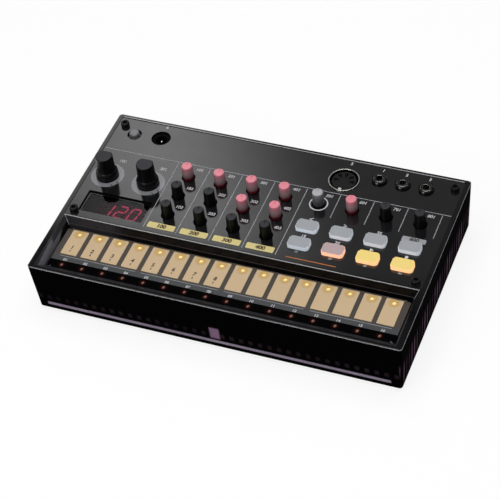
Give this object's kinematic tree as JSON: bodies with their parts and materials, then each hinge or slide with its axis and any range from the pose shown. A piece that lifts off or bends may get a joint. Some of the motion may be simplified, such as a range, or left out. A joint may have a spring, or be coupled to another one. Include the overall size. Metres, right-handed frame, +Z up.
{
  "type": "drum machine",
  "caption": "Desktop drum machine with turning knobs, sprung buttons, a recessed touch strip with step lights, sockets, and a hinged battery cover underneath.",
  "frame": {"origin": "on the table, under the middle of the case", "axes": "+X to the player's right, +Y to the back, +Z up"},
  "size_m": [0.193, 0.115, 0.046],
  "materials": {
    "smoked_case": "moulded, clear smoked, polished",
    "case_base": "moulded, fine grain",
    "panel_black": "moulded, polished, with printed lines",
    "plate_black": "moulded, polished",
    "pad_gold": "printed conductive pad, satin",
    "board_green": "solder mask",
    "light_yellow": "clear moulded, lit",
    "light_red": "clear moulded, lit dimly",
    "window_smoke": "clear tinted, polished",
    "display_black": "moulded",
    "segment_red": "lit",
    "socket_black": "moulded",
    "nickel": "nickel plated",
    "contact_brass": "plated",
    "nut_black": "black plated",
    "screw_black": "black oxide",
    "pot_body": "moulded",
    "switch_body": "moulded",
    "cell_can": "sleeved metal can",
    "speaker_steel": "pressed steel and magnet",
    "cone_paper": "coated paper",
    "foot_rubber": "moulded",
    "lead": "insulated wire and flat cable",
    "knob_black": "moulded, satin",
    "knob_red": "clear moulded, lit red from below",
    "knob_clear": "clear moulded",
    "button_grey": "moulded, translucent, satin",
    "button_lit_pink": "moulded, translucent, lit",
    "button_lit_yellow": "moulded, translucent, lit",
    "power_grey": "moulded"
  },
  "bodies": {
    "case": {"upper_case": "smoked_case", "control_panel": "panel_black", "panel_screws": "screw_black", "touch_plate": "plate_black", "step_pads": "pad_gold", "touch_board": "board_green", "step_leds": "light_yellow", "part_leds": "light_red", "main_board": "board_green", "display_window": "window_smoke", "display_module": "display_black", "display_segments": "segment_red", "power_switch": "switch_body", "din_socket": "socket_black", "din_ring": "nickel", "din_contacts": "contact_brass", "sync_in_jack": "socket_black", "sync_out_jack": "socket_black", "headphone_jack": "socket_black", "jack_nuts": "nut_black", "dc_inlet": "socket_black", "small_pots": "pot_body", "large_pots": "pot_body", "button_switches": "switch_body", "lower_case": "case_base", "battery_cells": "cell_can", "battery_contacts": "nickel", "speaker_frame": "speaker_steel", "speaker_cone": "cone_paper", "feet": "foot_rubber", "case_screws": "screw_black", "inner_leads": "lead"},
    "battery_cover": {"battery_cover": "case_base"},
    "volume_knob": {"volume_knob": "knob_black"},
    "tempo_knob": {"tempo_knob": "knob_black"},
    "column_1_top_knob": {"column_1_top_knob": "knob_red"},
    "column_1_middle_knob": {"column_1_middle_knob": "knob_black"},
    "column_1_bottom_knob": {"column_1_bottom_knob": "knob_black"},
    "column_2_top_knob": {"column_2_top_knob": "knob_red"},
    "column_2_middle_knob": {"column_2_middle_knob": "knob_black"},
    "column_2_bottom_knob": {"column_2_bottom_knob": "knob_black"},
    "column_3_top_knob": {"column_3_top_knob": "knob_red"},
    "column_3_middle_knob": {"column_3_middle_knob": "knob_red"},
    "column_3_bottom_knob": {"column_3_bottom_knob": "knob_black"},
    "column_4_top_knob": {"column_4_top_knob": "knob_red"},
    "column_4_middle_knob": {"column_4_middle_knob": "knob_red"},
    "column_4_bottom_knob": {"column_4_bottom_knob": "knob_black"},
    "column_5_knob": {"column_5_knob": "knob_clear"},
    "column_6_knob": {"column_6_knob": "knob_red"},
    "column_7_knob": {"column_7_knob": "knob_black"},
    "column_8_knob": {"column_8_knob": "knob_black"},
    "memory_button": {"memory_button": "button_grey"},
    "part_left_button": {"part_left_button": "button_grey"},
    "step_button": {"step_button": "button_lit_pink"},
    "part_right_button": {"part_right_button": "button_grey"},
    "play_button": {"play_button": "button_lit_yellow"},
    "mute_button": {"mute_button": "button_grey"},
    "record_button": {"record_button": "button_lit_yellow"},
    "shift_button": {"shift_button": "button_grey"},
    "power_button": {"power_button": "power_grey"}
  },
  "joints": [
    {"name": "battery_cover_hinge", "type": "hinge", "parent": "case", "child": "battery_cover", "pos_m": [-0.0295, 0.0089, 0.0036], "axis": [1, 0, 0], "range_deg": [0, 100]},
    {"name": "volume_turn", "type": "hinge", "parent": "case", "child": "volume_knob", "pos_m": [-0.0838, 0.01255, 0.032], "axis": [0, 0, 1], "range_deg": [-150, 150]},
    {"name": "tempo_turn", "type": "hinge", "parent": "case", "child": "tempo_knob", "pos_m": [-0.061, 0.01255, 0.032], "axis": [0, 0, 1], "range_deg": [-150, 150]},
    {"name": "column_1_top_turn", "type": "hinge", "parent": "case", "child": "column_1_top_knob", "pos_m": [-0.0425, 0.02215, 0.032], "axis": [0, 0, 1], "range_deg": [-140, 140]},
    {"name": "column_1_middle_turn", "type": "hinge", "parent": "case", "child": "column_1_middle_knob", "pos_m": [-0.0425, 0.00835, 0.032], "axis": [0, 0, 1], "range_deg": [-140, 140]},
    {"name": "column_1_bottom_turn", "type": "hinge", "parent": "case", "child": "column_1_bottom_knob", "pos_m": [-0.0425, -0.00545, 0.032], "axis": [0, 0, 1], "range_deg": [-140, 140]},
    {"name": "column_2_top_turn", "type": "hinge", "parent": "case", "child": "column_2_top_knob", "pos_m": [-0.0249, 0.02215, 0.032], "axis": [0, 0, 1], "range_deg": [-140, 140]},
    {"name": "column_2_middle_turn", "type": "hinge", "parent": "case", "child": "column_2_middle_knob", "pos_m": [-0.0249, 0.00835, 0.032], "axis": [0, 0, 1], "range_deg": [-140, 140]},
    {"name": "column_2_bottom_turn", "type": "hinge", "parent": "case", "child": "column_2_bottom_knob", "pos_m": [-0.0249, -0.00545, 0.032], "axis": [0, 0, 1], "range_deg": [-140, 140]},
    {"name": "column_3_top_turn", "type": "hinge", "parent": "case", "child": "column_3_top_knob", "pos_m": [-0.0073, 0.02215, 0.032], "axis": [0, 0, 1], "range_deg": [-140, 140]},
    {"name": "column_3_middle_turn", "type": "hinge", "parent": "case", "child": "column_3_middle_knob", "pos_m": [-0.0073, 0.00835, 0.032], "axis": [0, 0, 1], "range_deg": [-140, 140]},
    {"name": "column_3_bottom_turn", "type": "hinge", "parent": "case", "child": "column_3_bottom_knob", "pos_m": [-0.0073, -0.00545, 0.032], "axis": [0, 0, 1], "range_deg": [-140, 140]},
    {"name": "column_4_top_turn", "type": "hinge", "parent": "case", "child": "column_4_top_knob", "pos_m": [0.0103, 0.02215, 0.032], "axis": [0, 0, 1], "range_deg": [-140, 140]},
    {"name": "column_4_middle_turn", "type": "hinge", "parent": "case", "child": "column_4_middle_knob", "pos_m": [0.0103, 0.00835, 0.032], "axis": [0, 0, 1], "range_deg": [-140, 140]},
    {"name": "column_4_bottom_turn", "type": "hinge", "parent": "case", "child": "column_4_bottom_knob", "pos_m": [0.0103, -0.00545, 0.032], "axis": [0, 0, 1], "range_deg": [-140, 140]},
    {"name": "column_5_turn", "type": "hinge", "parent": "case", "child": "column_5_knob", "pos_m": [0.0279, 0.02215, 0.032], "axis": [0, 0, 1], "range_deg": [-140, 140]},
    {"name": "column_6_turn", "type": "hinge", "parent": "case", "child": "column_6_knob", "pos_m": [0.0455, 0.02215, 0.032], "axis": [0, 0, 1], "range_deg": [-140, 140]},
    {"name": "column_7_turn", "type": "hinge", "parent": "case", "child": "column_7_knob", "pos_m": [0.0631, 0.02215, 0.032], "axis": [0, 0, 1], "range_deg": [-140, 140]},
    {"name": "column_8_turn", "type": "hinge", "parent": "case", "child": "column_8_knob", "pos_m": [0.0807, 0.02215, 0.032], "axis": [0, 0, 1], "range_deg": [-140, 140]},
    {"name": "memory_press", "type": "slide", "parent": "case", "child": "memory_button", "axis": [0, 0, -1], "range_m": [0, 0.0008], "stiffness_N_per_m": 600, "springref_m": -0.0005},
    {"name": "part_left_press", "type": "slide", "parent": "case", "child": "part_left_button", "axis": [0, 0, -1], "range_m": [0, 0.0008], "stiffness_N_per_m": 600, "springref_m": -0.0005},
    {"name": "step_press", "type": "slide", "parent": "case", "child": "step_button", "axis": [0, 0, -1], "range_m": [0, 0.0008], "stiffness_N_per_m": 600, "springref_m": -0.0005},
    {"name": "part_right_press", "type": "slide", "parent": "case", "child": "part_right_button", "axis": [0, 0, -1], "range_m": [0, 0.0008], "stiffness_N_per_m": 600, "springref_m": -0.0005},
    {"name": "play_press", "type": "slide", "parent": "case", "child": "play_button", "axis": [0, 0, -1], "range_m": [0, 0.0008], "stiffness_N_per_m": 600, "springref_m": -0.0005},
    {"name": "mute_press", "type": "slide", "parent": "case", "child": "mute_button", "axis": [0, 0, -1], "range_m": [0, 0.0008], "stiffness_N_per_m": 600, "springref_m": -0.0005},
    {"name": "record_press", "type": "slide", "parent": "case", "child": "record_button", "axis": [0, 0, -1], "range_m": [0, 0.0008], "stiffness_N_per_m": 600, "springref_m": -0.0005},
    {"name": "shift_press", "type": "slide", "parent": "case", "child": "shift_button", "axis": [0, 0, -1], "range_m": [0, 0.0008], "stiffness_N_per_m": 600, "springref_m": -0.0005},
    {"name": "power_press", "type": "slide", "parent": "case", "child": "power_button", "axis": [0, 0, -1], "range_m": [0, 0.001], "stiffness_N_per_m": 600, "springref_m": -0.0005}
  ]
}
